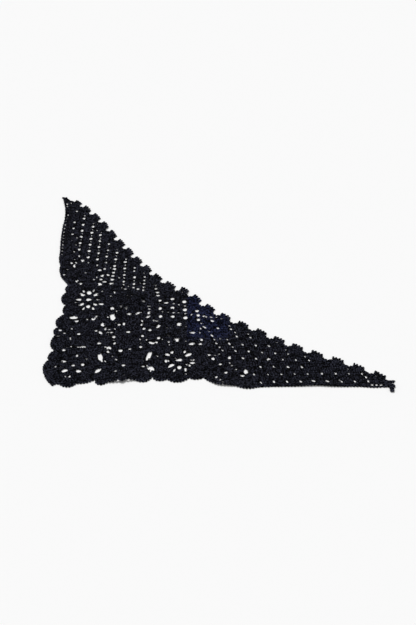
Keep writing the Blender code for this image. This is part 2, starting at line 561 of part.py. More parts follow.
for name, *sizes in MOTIFS:
    motif(name, outlines[name], *sizes)
for name, x, y in HALF_MOTIFS:
    half_motif(name, outlines[name], x, y)

left_leg = smooth(LEFT_LEG, SEAM_STEP)
lower_leg = smooth(LOWER_LEG, SEAM_STEP)
left_inner = offset(left_leg, BORDER)
lower_inner = offset(lower_leg, BORDER)
left_inner[-1] = Vector(JUNCTIONS["wing_li"])
lower_inner[0] = Vector(JUNCTIONS["wing_ri"])
# The seam under the shells runs a fixed depth inside the hollows between them.
hollows = [(x, y) for x, y, lead, height in SHELLS]
under = offset(smooth(hollows[1:-1], SEAM_STEP)[::-1], EDGING)[::-1]
split = Vector(JUNCTIONS["split"])
nearest = min(range(len(under)), key=lambda i: (under[i] - split).length)
under[nearest] = split
under_left = under[:nearest + 1]
under_right = under[nearest:]

mesh_left_outline = run(left_inner, "half_l_top", "half_l_out", "half_l_in",
                        "top_mesh", "-top_side", "right_top", "wings", under_left[::-1])
mesh_right_outline = run("-half_r_in", "-half_r_top", "-half_r_out", lower_inner, under_right[::-1],
                         "-wings", "-right_mesh")
mesh_points = grid(0.0, LEG, 0.0, LEG, MESH_POINT_STEP)
cloth("mesh_left", mesh_left_outline, mesh_spaces + odd_spaces, mesh_points, flat)
cloth("mesh_right", mesh_right_outline, mesh_spaces + odd_spaces, mesh_points, flat)
cloth("border_left", run(left_leg, left_inner[::-1]), [], [], flat)
cloth("border_right", run(lower_leg, lower_inner[::-1]), [], [], flat)

left_tip = [Vector(p) for p in LEFT_TIP]
right_tip = [lower_inner[-1], lower_leg[-1], Vector(RIGHT_TIP)]
edging = run(left_tip, [left_leg[0], left_inner[0]], under, right_tip, shell_edge()[::-1])
cloth("shell_edging", edging, [], [], flat)
cloth("tip_tail", [Vector(p) for p in TAIL], [], [Vector(KNOT)], knot_relief)

# The middle of the scarf's box goes to the origin.
corners = [v.co for o in bpy.data.objects for v in o.data.vertices]
middle_x = (min(c.x for c in corners) + max(c.x for c in corners)) / 2
middle_y = (min(c.y for c in corners) + max(c.y for c in corners)) / 2
print("middle", middle_x, middle_y)
for o in bpy.data.objects:
    for v in o.data.vertices:
        v.co.x -= middle_x
        v.co.y -= middle_y
    o.data.update()
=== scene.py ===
import math
import random

import bpy
import bmesh
import numpy as np
from mathutils import Matrix, Vector
from mathutils.bvhtree import BVHTree
from mathutils.kdtree import KDTree


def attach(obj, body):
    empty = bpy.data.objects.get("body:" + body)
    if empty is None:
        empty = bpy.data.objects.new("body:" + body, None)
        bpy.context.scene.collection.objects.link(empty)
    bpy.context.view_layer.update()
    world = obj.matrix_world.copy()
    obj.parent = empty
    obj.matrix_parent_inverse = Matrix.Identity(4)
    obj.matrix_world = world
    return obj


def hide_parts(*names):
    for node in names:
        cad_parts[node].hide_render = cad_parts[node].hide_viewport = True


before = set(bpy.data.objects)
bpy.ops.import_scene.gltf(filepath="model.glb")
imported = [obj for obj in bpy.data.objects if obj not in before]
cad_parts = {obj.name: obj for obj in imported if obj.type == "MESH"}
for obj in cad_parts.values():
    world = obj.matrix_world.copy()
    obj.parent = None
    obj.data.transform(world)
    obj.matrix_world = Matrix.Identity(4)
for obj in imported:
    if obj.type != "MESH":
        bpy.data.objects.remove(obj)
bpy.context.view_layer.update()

# Crochet scarf: thin cloth on each CAD piece, with the stitches worked on it in yarn.
# Metres, in the frame of the CAD model: the right-angled corner is at the lower left.

random.seed(11)


def deselectAll():
    if bpy.context.mode != "OBJECT":
        bpy.ops.object.mode_set(mode="OBJECT")
    bpy.ops.object.select_all(action="DESELECT")


def makeActive(thing):
    deselectAll()
    thing.select_set(True)
    bpy.context.view_layer.objects.active = thing


def toLinear(hexColour):  # sRGB hex to the linear values that shaders use
    parts = [int(hexColour[i:i + 2], 16) / 255 for i in (1, 3, 5)]
    linear = [p / 12.92 if p <= 0.04045 else ((p + 0.055) / 1.055) ** 2.4 for p in parts]
    return (*linear, 1.0)


def addNode(tree, kind, settings=None, inputs=None, links=None):  # one node, set up and linked
    node = tree.nodes.new(kind)
    for name, value in (settings or {}).items():
        setattr(node, name, value)
    for socket, value in (inputs or {}).items():  # a socket by its name or its number
        node.inputs[socket].default_value = value
    for socket, source in (links or {}).items():
        tree.links.new(source, node.inputs[socket])
    return node


# Materials

yarnLook = {
    "colour": "#111217",        # black cotton that still reads faintly blue
    "fuzzColour": "#1e1f28",    # where loose fibres catch the light
    "groundShadeColour": "#040406",  # painted shade: a colour darker than the yarn, for the hollows between the stitches
    # painted shade as well: the fuzz colour of the darkened ground
    "groundShadeFuzz": "#09090d",
    "tintColour": "#121526",    # the area in the middle that has kept more of its navy dye
    "tintEdges": (("X", -0.058, 0.002), ("Y", -0.166, 0.014),     # where it begins, and how softly,
                  ("X", 0.021, -0.016), ("Y", -0.026, -0.004)),   # and where it ends
    "roughness": 0.85,
    "sheen": 0.006,
    "sheenRoughness": 0.45,
    "sheenTint": (0.75, 0.80, 1.0, 1.0),
    "specular": 0.03,
    "ior": 1.53,
    "plies": 2.0,               # twisted plies in the yarn
    "plyPitch": 0.0042,         # length of one turn of the ply
    "plyDepth": 0.00025,
    "plyShare": 0.5,            # of the ply in the relief, beside the fuzz
    "fuzzDepth": 0.00012,
    "bump": 0.8,
    "fuzz": {"size": (0.0007, 0.0007, 0.0007), "detail": 4.0, "from": (0.35, 0.70), "to": (0.0, 1.0)},
    # painted light and shade: stitch-scale noise that lightens and darkens the colour, for lit stitch tops
    # and shaded gaps
    "stitchLightAndShade": {"size": (0.0031, 0.0040, 0.0031), "detail": 1.0, "from": (0.40, 0.62), "to": (0.0, 3.5)},
    # painted shade: broader noise that scales the colour from 0.45 to 1.15, darker in patches as in folds
    "creaseShade": {"size": (0.0160, 0.0090, 0.0200), "detail": 2.0, "from": (0.36, 0.50), "to": (0.45, 1.15)},
}


# Plied combed cotton, dyed black: matt, with a slight nap. It looks soft and knobbly. Light and shade are
# painted in: noise makes the colour paler and darker, and the ground under the stitches is painted nearly
# black as shade.
def makeYarn(name, colour, fuzzColour, twisted):
    look = yarnLook
    smooth = {"interpolation_type": "SMOOTHSTEP"}
    multiply = {"operation": "MULTIPLY"}
    material = bpy.data.materials.new(name)
    material.use_nodes = True
    tree = material.node_tree
    tree.nodes.clear()
    place = addNode(tree, "ShaderNodeTexCoord").outputs["Object"]
    noise = {}
    shares = {}
    for part in ("fuzz", "stitchLightAndShade", "creaseShade"):
        grain = look[part]
        scaled = addNode(tree, "ShaderNodeMapping", inputs={"Scale": [1 / size for size in grain["size"]]},
                         links={"Vector": place})
        noise[part] = addNode(tree, "ShaderNodeTexNoise", inputs={"Scale": 1.0, "Detail": grain["detail"]},
                              links={"Vector": scaled.outputs["Vector"]}).outputs["Fac"]
        shares[part] = addNode(tree, "ShaderNodeMapRange", smooth,
                               {"From Min": grain["from"][0], "From Max": grain["from"][1],
                                "To Min": grain["to"][0], "To Max": grain["to"][1]},
                               {"Value": noise[part]}).outputs["Result"]
    split = addNode(tree, "ShaderNodeSeparateXYZ", links={"Vector": place})
    area = None
    for axis, edge, soft in look["tintEdges"]:
        side = addNode(tree, "ShaderNodeMapRange", smooth, {"From Min": edge - soft, "From Max": edge + soft},
                       {"Value": split.outputs[axis]}).outputs["Result"]
        if area:
            side = addNode(tree, "ShaderNodeMath", multiply, links={0: area, 1: side}).outputs[0]
        area = side
    napped = addNode(tree, "ShaderNodeMix", {"data_type": "RGBA"},
                     {6: toLinear(colour), 7: toLinear(fuzzColour)}, {0: shares["fuzz"]})
    dyed = addNode(tree, "ShaderNodeMix", {"data_type": "RGBA"}, {7: toLinear(look["tintColour"])},
                   {0: area, 6: napped.outputs[2]})
    # painted light and shade: the two noises scale the value of the colour
    light = addNode(tree, "ShaderNodeMath", multiply, links={0: shares["stitchLightAndShade"], 1: shares["creaseShade"]})
    shade = addNode(tree, "ShaderNodeHueSaturation",
                    links={"Color": dyed.outputs[2], "Value": light.outputs[0]})
    relief = noise["fuzz"]
    depth = look["fuzzDepth"]
    if twisted:  # the plies wind round the strand, which has its own UV map: round it, and metres along
        wrap = addNode(tree, "ShaderNodeUVMap", {"uv_map": "UVMap"})
        ways = addNode(tree, "ShaderNodeSeparateXYZ", links={"Vector": wrap.outputs["UV"]})
        along = addNode(tree, "ShaderNodeMath", multiply, {1: 2 * math.pi / look["plyPitch"]},
                        {0: ways.outputs["Y"]})
        turn = addNode(tree, "ShaderNodeMath", {"operation": "MULTIPLY_ADD"},
                       {1: 2 * math.pi * look["plies"]}, {0: ways.outputs["X"], 2: along.outputs[0]})
        wave = addNode(tree, "ShaderNodeMath", {"operation": "SINE"}, links={0: turn.outputs[0]})
        relief = addNode(tree, "ShaderNodeMath", {"operation": "MULTIPLY_ADD"}, {1: look["plyShare"]},
                         {0: wave.outputs[0], 2: noise["fuzz"]}).outputs[0]
        depth = look["plyDepth"]
    bump = addNode(tree, "ShaderNodeBump", inputs={"Strength": look["bump"], "Distance": depth},
                   links={"Height": relief})
    shader = addNode(tree, "ShaderNodeBsdfPrincipled",
                     inputs={"Roughness": look["roughness"], "Sheen Weight": look["sheen"],
                             "Sheen Roughness": look["sheenRoughness"], "Sheen Tint": look["sheenTint"],
                             "IOR": look["ior"], "Specular IOR Level": look["specular"]},
                     links={"Base Color": shade.outputs["Color"], "Normal": bump.outputs["Normal"]})
    addNode(tree, "ShaderNodeOutputMaterial", links={"Surface": shader.outputs["BSDF"]})
    return material


yarnMaterial = makeYarn("plied_cotton_black", yarnLook["colour"], yarnLook["fuzzColour"], True)
# painted shade: the cloth under the stitches gets a colour darker than the yarn
groundShadeMaterial = makeYarn("cotton_ground_painted_shade", yarnLook["groundShadeColour"], yarnLook["groundShadeFuzz"], False)

# Yarn shapes, each modelled once: a double crochet, a chain stitch and a picot.

yarnShape = {
    "strand": 0.00082,      # radius of the yarn as it lies pressed in a stitch
    "postLength": 0.0100,
    "postSpread": 0.00090,  # the two legs of a post stand this far from its middle
    "postLift": 0.00042,
    "postLegs": ((1, 0.25), (-1, -0.1)),  # side, and how far round the post the leg starts
    "postPoints": 5,
    "wrapReach": 0.0018,    # of the wrap of yarn, to each side of the post
    "wrapAlong": 0.42,
    "wrapRise": 0.2,        # along the post too, as a share of its length
    "wrapHeight": 0.0006,
    "wrapArch": 0.0016,
    "wrapPoints": 4,
    "chainLength": 0.0046,
    "chainSpread": 0.00105,
    "chainStrand": 0.00074,
    "chainRoute": (         # shares of its length, its spread and its height
        (-0.10, 0.15, 0.34), (0.28, 1.00, 0.74), (0.72, 1.00, 0.84), (1.12, 0.20, 0.56),
    ),
    "picotSize": 0.0021,
    "picotWidth": 0.62,     # this and the next two as shares of its size
    "picotMiddle": 0.55,
    "picotReach": 0.8,
    "picotHeight": 0.45,    # this and the next as shares of the cloth
    "picotWave": 0.12,
    "picotPoints": 9,
    "cloth": 0.0025,        # height of a stitch, as thick as the CAD cloth
}


def evenly(count):  # shares from 0 to 1
    return [i / (count - 1) for i in range(count)]


def makeStrands(name, routes, radius, fineness):  # yarn along routes, as a mesh with its own UV map
    deselectAll()
    bpy.ops.curve.primitive_nurbs_path_add()
    thing = bpy.context.active_object
    thing.name = name
    curve = thing.data
    curve.splines.clear()
    for route in routes:
        spline = curve.splines.new("POLY")
        spline.points.add(len(route) - 1)
        for point, place in zip(spline.points, route):
            point.co = (*place, 1.0)
    curve.bevel_depth = radius
    curve.bevel_resolution = fineness
    curve.use_fill_caps = False
    bpy.ops.object.convert(target="MESH")
    bpy.ops.object.mode_set(mode="EDIT")
    bpy.ops.mesh.select_all(action="SELECT")
    bpy.ops.mesh.fill_holes(sides=12)  # closes the ends of the strands
    bpy.ops.object.mode_set(mode="OBJECT")
    thing = bpy.context.active_object
    mesh = thing.data
    sides = len(mesh.vertices) // sum(len(route) for route in routes)
    aroundOf = np.arange(len(mesh.vertices)) % sides
    alongOf = []
    for route in routes:
        run = 0.0
        for i, place in enumerate(route):
            if i:
                run += (Vector(place) - Vector(route[i - 1])).length
            alongOf += [run] * sides
    uvLayer = mesh.uv_layers.get("UVMap") or mesh.uv_layers.new(name="UVMap")
    for polygon in mesh.polygons:
        arounds = [aroundOf[v] for v in polygon.vertices]
        wraps = max(arounds) - min(arounds) > 1
        for loop, vertex in zip(polygon.loop_indices, polygon.vertices):
            around = aroundOf[vertex] + (sides if wraps and aroundOf[vertex] == 0 else 0)
            uvLayer.data[loop].uv = (around / sides, alongOf[vertex])
    mesh.shade_smooth()
    thing.hide_render = True
    return thing


def postRoutes():  # two legs that cross once, and the wrap of yarn round them
    size = yarnShape
    middle = size["cloth"] / 2
    routes = []
    for side, start in size["postLegs"]:
        route = []
        for t in evenly(size["postPoints"]):
            turn = math.pi * t + start
            route.append((side * size["postSpread"] * math.cos(turn),
                          size["postLength"] * t,
                          middle + side * size["postLift"] * math.sin(turn)))
        routes.append(route)
    wrap = []
    for t in evenly(size["wrapPoints"]):
        wrap.append((-size["wrapReach"] + 2 * size["wrapReach"] * t,
                     size["postLength"] * (size["wrapAlong"] + size["wrapRise"] * t),
                     size["wrapHeight"] + size["wrapArch"] * math.sin(math.pi * t)))
    routes.append(wrap)
    return routes


def chainRoutes():  # a chain stitch, its two legs spreading and closing like a V
    size = yarnShape
    routes = []
    for side in (1, -1):
        route = []
        for along, out, up in size["chainRoute"]:
            route.append((size["chainLength"] * along, side * size["chainSpread"] * out,
                          size["cloth"] * up))
        routes.append(route)
    return routes


def picotRoutes():  # a small closed loop of chain that stands out from the edge
    size = yarnShape
    route = []
    for t in evenly(size["picotPoints"]):
        turn = -0.5 * math.pi + 2 * math.pi * t
        route.append((size["picotWidth"] * size["picotSize"] * math.cos(turn),
                      size["picotSize"] * (size["picotMiddle"] + size["picotReach"] * math.sin(turn)),
                      size["cloth"] * (size["picotHeight"] + size["picotWave"] * math.cos(2 * turn))))
    return [route]


doubleCrochet = makeStrands("double_crochet", postRoutes(), yarnShape["strand"], 1)
chainStitch = makeStrands("chain_stitch", chainRoutes(), yarnShape["chainStrand"], 0)
picotLoop = makeStrands("picot_loop", picotRoutes(), yarnShape["strand"], 1)
print("yarn shapes made", len(doubleCrochet.data.polygons), len(chainStitch.data.polygons))

# Reading a CAD piece: its outline, its openings and its lie.

cornerAt = Vector((-0.3215, -0.3126))  # where the two legs of the scarf would meet, in this frame

reading = {
    "merge": 0.00001,  # points of a CAD mesh closer than this are one
    "upward": 0.5,     # least upward share of the normal of an upper face
    "rayFrom": 0.1,    # above and below the cloth
    "digits": 5,       # of a place, when places are matched
}


def loopArea(loop):
    return 0.5 * sum(a.x * b.y - b.x * a.y for a, b in zip(loop, loop[1:] + loop[:1]))


def readPiece(node):
    mesh = bmesh.new()
    mesh.from_mesh(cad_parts[node].data)
    bmesh.ops.remove_doubles(mesh, verts=mesh.verts, dist=reading["merge"])
    tree = BVHTree.FromBMesh(mesh)
    upper = {f for f in mesh.faces if f.normal.z > reading["upward"]}
    area = 0.0
    following = {}
    for face in upper:
        area += abs(face.calc_area() * face.normal.z)
        for loop in face.loops:
            if any(other not in upper for other in loop.edge.link_faces):
                following[loop.vert.index] = loop.link_loop_next.vert.index
    places = {v.index: Vector((v.co.x, v.co.y)) for v in mesh.verts}
    loops = []
    while following:
        start = min(following)
        loop = []
        while start in following:
            loop.append(places[start])
            start = following.pop(start)
        loops.append(loop)
    mesh.free()
    loops.sort(key=lambda loop: -abs(loopArea(loop)))
    return {"name": node, "solid": tree, "outline": loops[0], "openings": loops[1:], "area": area}


def walkLoop(loop, pitch, phase=0.5):  # points at an even pitch round a loop, with the way it runs
    ends = loop + loop[:1]
    total = sum((b - a).length for a, b in zip(ends, ends[1:]))
    count = max(3, round(total / pitch))
    step = total / count
    found = []
    left = step * phase
    for a, b in zip(ends, ends[1:]):
        run = (b - a).length
        at = left
        while at < run:
            found.append((a + (b - a) * (at / run), (b - a).normalized()))
            at += step
        left = at - run
    return found, step


def insideLoop(x, y, loop):
    odd = False
    for a, b in zip(loop, loop[1:] + loop[:1]):
        if (a.y > y) != (b.y > y) and x < a.x + (y - a.y) * (b.x - a.x) / (b.y - a.y):
            odd = not odd
    return odd


def topAt(tree, x, y):  # height of the upper face, or nothing beside the piece
    hit = tree.ray_cast(Vector((x, y, reading["rayFrom"])), Vector((0, 0, -1)))
    return hit[0].z if hit[0] else None


def undersideAt(tree, x, y):
    hit = tree.ray_cast(Vector((x, y, -reading["rayFrom"])), Vector((0, 0, 1)))
    return hit[0].z if hit[0] else 0.0


pieces = {node: readPiece(node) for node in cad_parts}

seamFinder = {"step": 0.001, "most": 0.0011, "across": (0.003, 0.005, 0.007, 0.009, 0.011)}
outlineMarks = []
for node, piece in pieces.items():
    outlineMarks += [(place, node) for place, way in walkLoop(piece["outline"], seamFinder["step"])[0]]
seamTree = KDTree(len(outlineMarks))
for i, (place, node) in enumerate(outlineMarks):
    seamTree.insert((*place, 0.0), i)
seamTree.balance()


def neighbourAt(piece, place):  # the piece joined on at this place of an outline, if one is
    for co, i, gap in seamTree.find_range((*place, 0.0), seamFinder["most"]):
        if outlineMarks[i][1] != piece["name"]:
            return outlineMarks[i][1]
    return None


def facesSpace(piece, place, way):  # cloth lies on the far side of a narrow space between two pieces
    out = Vector((way.y, -way.x))
    if neighbourAt(piece, place):
        return False
    for step in seamFinder["across"]:
        ahead = place + out * step
        if any(topAt(other["solid"], *ahead) is not None for other in pieces.values()):
            return True
    return False


print("CAD pieces read", len(pieces))

# One shape laid many times with Geometry Nodes, and made real


def layingTree(shape):
    tree = bpy.data.node_groups.new("lay_" + shape.name, "GeometryNodeTree")
    tree.interface.new_socket("Geometry", in_out="INPUT", socket_type="NodeSocketGeometry")
    tree.interface.new_socket("Geometry", in_out="OUTPUT", socket_type="NodeSocketGeometry")
    start = addNode(tree, "NodeGroupInput")
    info = addNode(tree, "GeometryNodeObjectInfo", {"transform_space": "ORIGINAL"},
                   {"Object": shape, "As Instance": True})
    turn = addNode(tree, "GeometryNodeInputNamedAttribute", {"data_type": "FLOAT_VECTOR"}, {"Name": "turn"})
    size = addNode(tree, "GeometryNodeInputNamedAttribute", {"data_type": "FLOAT_VECTOR"}, {"Name": "size"})
    lay = addNode(tree, "GeometryNodeInstanceOnPoints",
                  links={"Points": start.outputs["Geometry"], "Instance": info.outputs["Geometry"],
                         "Rotation": turn.outputs["Attribute"], "Scale": size.outputs["Attribute"]})
    real = addNode(tree, "GeometryNodeRealizeInstances", links={"Geometry": lay.outputs["Instances"]})
    addNode(tree, "NodeGroupOutput", links={"Geometry": real.outputs["Geometry"]})
    return tree


def layCopies(name, tree, places, turns, sizes):
    mesh = bpy.data.meshes.new(name)
    mesh.from_pydata(places, [], [])
    for label, values in (("turn", turns), ("size", sizes)):
        attribute = mesh.attributes.new(label, "FLOAT_VECTOR", "POINT")
        attribute.data.foreach_set("vector", np.array(values, dtype=np.float32).ravel())
    laid = bpy.data.objects.new(name, mesh)
    bpy.context.scene.collection.objects.link(laid)
    makeActive(laid)
    modifier = laid.modifiers.new("lay", "NODES")
    modifier.node_group = tree
    bpy.ops.object.modifier_apply(modifier=modifier.name)
    return laid


# Spaces that pulled stitches leave, beyond the openings of the CAD model. Some lie over one of those and
# widen it, and some are over 4 mm as cut and aren't in it. Millimetres from the corner of the two legs.

smallSpaces = {
    "rows": [  # x first, y first, x last, y last, count, width, height
        (11.2, 564.0, 8.8, 524.0, 4, 2.7, 5.6), (8.5, 510.0, 9.5, 430.0, 8, 2.8, 5.6),
        (604.0, 5.0, 620.0, 4.8, 3, 6.2, 5.2), (45.9, 505.0, 43.5, 460.9, 3, 2.8, 5.2),
        (66.8, 519.4, 62.6, 432.6, 5, 2.8, 5.0), (85.3, 510.0, 81.5, 423.8, 5, 2.8, 5.0),
        (100.8, 456.0, 98.5, 389.0, 4, 2.6, 4.6), (119.4, 447.6, 117.4, 401.2, 3, 3.0, 5.2),
        (137.9, 391.8, 137.0, 324.7, 4, 3.4, 5.6),
    ],
    "single": [  # x, y, width, height
        (75.9, 516.5, 3.4, 5.6), (35.9, 490.0, 3.6, 6.0), (33.5, 439.4, 3.6, 5.6), (26.2, 480.6, 2.6, 5.0),
        (108.5, 382.6, 3.6, 6.0), (75.9, 538.8, 3.8, 4.6), (157.4, 337.9, 3.0, 5.0),
        (170.3, 329.1, 3.4, 5.0), (146.8, 318.2, 3.6, 4.6), (39.4, 400.3, 3.8, 7.2),
        (63.8, 400.3, 3.6, 6.4), (23.5, 376.2, 4.4, 3.8), (83.5, 349.7, 3.6, 7.4), (77.9, 341.8, 3.6, 6.0),
        (145.5, 279.4, 3.0, 7.8), (155.2, 279.5, 3.0, 7.8), (150.2, 288.2, 3.0, 7.8),
        (212.4, 262.9, 3.6, 5.0), (246.2, 257.1, 3.8, 6.2), (252.9, 296.8, 3.6, 6.6),
        (215.3, 233.5, 4.4, 4.0), (225.6, 232.0, 5.6, 3.8), (246.2, 230.6, 4.4, 4.0),
        (271.2, 224.0, 4.4, 5.4), (46.2, 264.0, 5.2, 4.0), (126.7, 235.6, 3.0, 7.0),
        (261.2, 183.3, 3.8, 5.8), (288.9, 178.9, 3.2, 7.0), (287.3, 165.6, 3.0, 6.0),
        (228.4, 153.3, 3.0, 7.0), (216.7, 144.4, 3.0, 6.0), (261.1, 138.4, 3.0, 5.6),
        (176.7, 203.3, 3.6, 8.6), (174.4, 144.4, 3.6, 6.0), (176.7, 132.2, 5.0, 4.0),
        (186.7, 143.3, 3.6, 6.0), (113.3, 160.0, 3.6, 6.0), (125.6, 141.1, 3.6, 6.0),
        (125.6, 177.8, 3.4, 6.0), (71.1, 208.2, 3.8, 6.0), (42.2, 148.9, 3.8, 5.4),
        (38.9, 118.9, 4.6, 3.6), (76.7, 83.3, 6.4, 3.8), (20.0, 60.0, 3.0, 7.0), (30.0, 57.8, 3.0, 5.4),
        (40.0, 31.1, 3.6, 7.0), (111.1, 76.7, 2.8, 10.0), (124.4, 91.1, 3.6, 5.0), (181.1, 78.9, 3.8, 6.2),
        (135.6, 21.5, 8.0, 3.6), (155.6, 23.3, 5.6, 3.6), (147.8, 33.3, 3.0, 5.0), (207.8, 92.2, 3.8, 6.2),
        (230.0, 127.8, 4.0, 4.4), (262.2, 37.8, 3.4, 7.0), (300.0, 51.1, 3.4, 6.0),
        (319.0, 215.4, 3.8, 5.0), (328.8, 210.5, 3.8, 4.6), (310.5, 156.8, 3.6, 10.0),
        (324.6, 120.2, 3.8, 5.6), (349.5, 120.2, 4.2, 5.0), (379.5, 161.7, 4.0, 6.0),
        (432.4, 135.4, 3.8, 6.0), (442.2, 122.0, 5.0, 4.0), (449.0, 112.2, 3.8, 5.0),
        (503.2, 59.3, 4.8, 4.0), (342.9, 70.7, 3.6, 7.0), (347.1, 62.9, 3.0, 6.0), (316.6, 94.6, 5.0, 4.0),
        (323.9, 98.3, 5.0, 4.0), (330.0, 11.7, 3.6, 6.0), (612.9, 31.2, 3.8, 5.4), (299.5, 52.0, 3.6, 6.0),
        (354.4, 166.6, 3.2, 6.0), (561.7, 52.0, 3.4, 5.0), (9.1, 616.0, 5.0, 6.2), (9.1, 607.0, 4.4, 5.4),
        (17.2, 619.5, 3.6, 5.4), (13.5, 574.0, 3.6, 6.0), (642.8, 9.5, 7.0, 5.5), (134.0, 248.7, 4.8, 6.4),
        (144.1, 242.7, 3.7, 7.2), (150.9, 226.8, 7.7, 6.2), (111.8, 163.2, 3.3, 6.0),
        (119.6, 115.6, 4.4, 6.0), (109.7, 120.6, 4.8, 5.3), (58.9, 120.3, 7.4, 5.0),
        (45.2, 121.9, 5.5, 4.5), (179.7, 79.1, 2.9, 6.0), (190.5, 62.6, 2.9, 7.4), (196.9, 46.3, 3.7, 6.0),
        (176.3, 121.0, 6.6, 6.4), (194.0, 135.1, 6.3, 6.4), (200.8, 133.5, 4.4, 5.0),
        (200.0, 205.3, 5.5, 6.4), (206.2, 202.7, 4.8, 5.0), (121.3, 226.2, 4.8, 6.4),
        (110.6, 215.7, 4.4, 6.0), (225.9, 180.7, 4.4, 5.3), (289.7, 195.9, 5.5, 5.3),
        (294.3, 185.6, 4.0, 5.3), (293.9, 220.3, 4.8, 5.5), (299.3, 216.4, 3.7, 5.3),
        (312.3, 203.1, 5.5, 6.0), (305.0, 169.9, 4.8, 4.5), (242.2, 86.2, 2.6, 6.0),
        (260.7, 228.8, 5.9, 4.5), (262.6, 67.2, 4.8, 5.3), (189.5, 242.3, 4.8, 5.3),
        (35.0, 464.0, 4.4, 5.0), (111.4, 327.9, 6.3, 6.9), (200.2, 320.3, 5.9, 5.7),
        (87.6, 273.1, 2.9, 6.4), (61.1, 365.1, 7.4, 4.5), (127.1, 195.6, 2.9, 5.0),
        (210.3, 261.8, 4.4, 4.5), (354.2, 109.4, 4.0, 5.8), (379.5, 107.6, 4.4, 6.0),
        (404.3, 103.5, 4.6, 6.2), (429.0, 101.3, 4.8, 6.4), (452.9, 98.9, 4.2, 5.8),
        (441.6, 122.2, 4.6, 5.0), (414.5, 81.6, 4.4, 6.4), (487.8, 37.8, 4.8, 6.6),
        (513.7, 39.0, 5.4, 6.0), (496.0, 17.1, 6.4, 7.4), (521.6, 16.1, 5.4, 7.4), (387.7, 36.3, 4.6, 7.0),
        (503.4, 58.7, 4.2, 4.6), (538.9, 39.3, 4.4, 6.4), (588.0, 39.3, 4.0, 6.0), (545.1, 18.6, 3.8, 6.0),
        (48.5, 572.0, 3.8, 4.6), (68.1, 542.6, 4.2, 5.6), (83.1, 484.7, 2.8, 5.0), (36.7, 412.1, 3.2, 4.8),
        (133.4, 313.9, 3.0, 6.0), (176.2, 363.7, 3.2, 4.8), (113.5, 285.1, 4.6, 5.0),
        (119.2, 298.7, 3.5, 6.6), (126.6, 348.5, 3.8, 5.4),
    ],
    "wider": 1.06,
    "taller": 1.15,  # for what the thickness of the cloth hides of them
    "tilt": (-0.15, 0.55),  # least and most turn, as the stitches lean
    "ragged": (1.20, 0.86, 1.10, 0.82, 1.22, 0.90, 1.05, 0.84),  # its corners, pulled in and out by the yarn
    "depth": 0.03,  # of the cutter, well past the cloth both ways
}


def findSpaces():  # each a place, a width, a height and a tilt
    spots = list(smallSpaces["single"])
    for x0, y0, x1, y1, count, width, height in smallSpaces["rows"]:
        for t in evenly(count):
            spots.append((x0 + (x1 - x0) * t, y0 + (y1 - y0) * t, width, height))
    found = []
    for spot in spots:
        x, y, width, height = (size / 1000 for size in spot)
        found.append((cornerAt + Vector((x, y)), width * smallSpaces["wider"],
                      height * smallSpaces["taller"], random.uniform(*smallSpaces["tilt"])))
    return found


def raggedLoop():  # clockwise, so that the cloth is on its left; one across and one high
    shares = smallSpaces["ragged"]
    turns = [-2 * math.pi * i / len(shares) for i in range(len(shares))]
    return [Vector((math.cos(a), math.sin(a))) * share / 2 for a, share in zip(turns, shares)]


def spaceLoop(place, width, height, tilt):
    turn = Matrix.Rotation(tilt, 2)
    return [place + turn @ Vector((corner.x * width, corner.y * height)) for corner in raggedLoop()]


deselectAll()
bpy.ops.mesh.primitive_cylinder_add(vertices=len(smallSpaces["ragged"]), radius=0.5,
                                    depth=smallSpaces["depth"])
spaceCutter = bpy.context.active_object
spaceCutter.name = "space_cutter"
for vertex in spaceCutter.data.vertices:  # each corner goes to its ragged place
    nearest = max(raggedLoop(), key=lambda corner: corner.normalized().dot(vertex.co.xy))
    vertex.co.xy = nearest
spaceTree = layingTree(spaceCutter)
spaces = findSpaces()

# Bumps along a free edge, with a notch between each two. The shells have theirs drawn in their outline.

bumpWork = {
    "pitch": 0.0060,
    "inset": 0.0018,
    "width": 1.30,
    "length": 0.98,
    "notch": (0.0024, 0.0032),  # across and deep
    "shellNotch": (0.0036, 0.0056),
    "shellPicotInset": 0.0022,
    "shellPicotWidth": 1.00,
    "shellPicotLength": 1.25,
    "borderInset": 0.0017,
    "borderWidth": 0.85,
    "borderLength": 0.90,
    "uneven": (0.85, 1.15),
    "thickness": (0.95, 1.25),
    "turn": 0.30,               # an outline that turns by more than this has a corner
}


def freeEdge(piece, phase):
    return [(place, way) for place, way in walkLoop(piece["outline"], bumpWork["pitch"], phase)[0]
            if not neighbourAt(piece, place) and not facesSpace(piece, place, way)]


def freeCorners(piece, side):  # corners of the free outline: outward ones for 1, inward ones for -1
    outline = piece["outline"]
    found = []
    for before, place, after in zip(outline[-1:] + outline[:-1], outline, outline[1:] + outline[:1]):
        arriving = (place - before).normalized()
        leaving = (after - place).normalized()
        turning = arriving.x * leaving.y - arriving.y * leaving.x
        if turning * side > bumpWork["turn"] and not neighbourAt(piece, place):
            found.append((place, (arriving + leaving).normalized()))
    return found


def findNotches(piece):
    if piece["name"] == "shell_edging":
        return [(*corner, bumpWork["shellNotch"]) for corner in freeCorners(piece, -1)]
    if "motif" in piece["name"]:
        return [(*point, bumpWork["notch"]) for point in freeEdge(piece, 0.0)]
    return []


# The thin cloth under the stitches: each CAD piece made thinner, with the small spaces cut in it

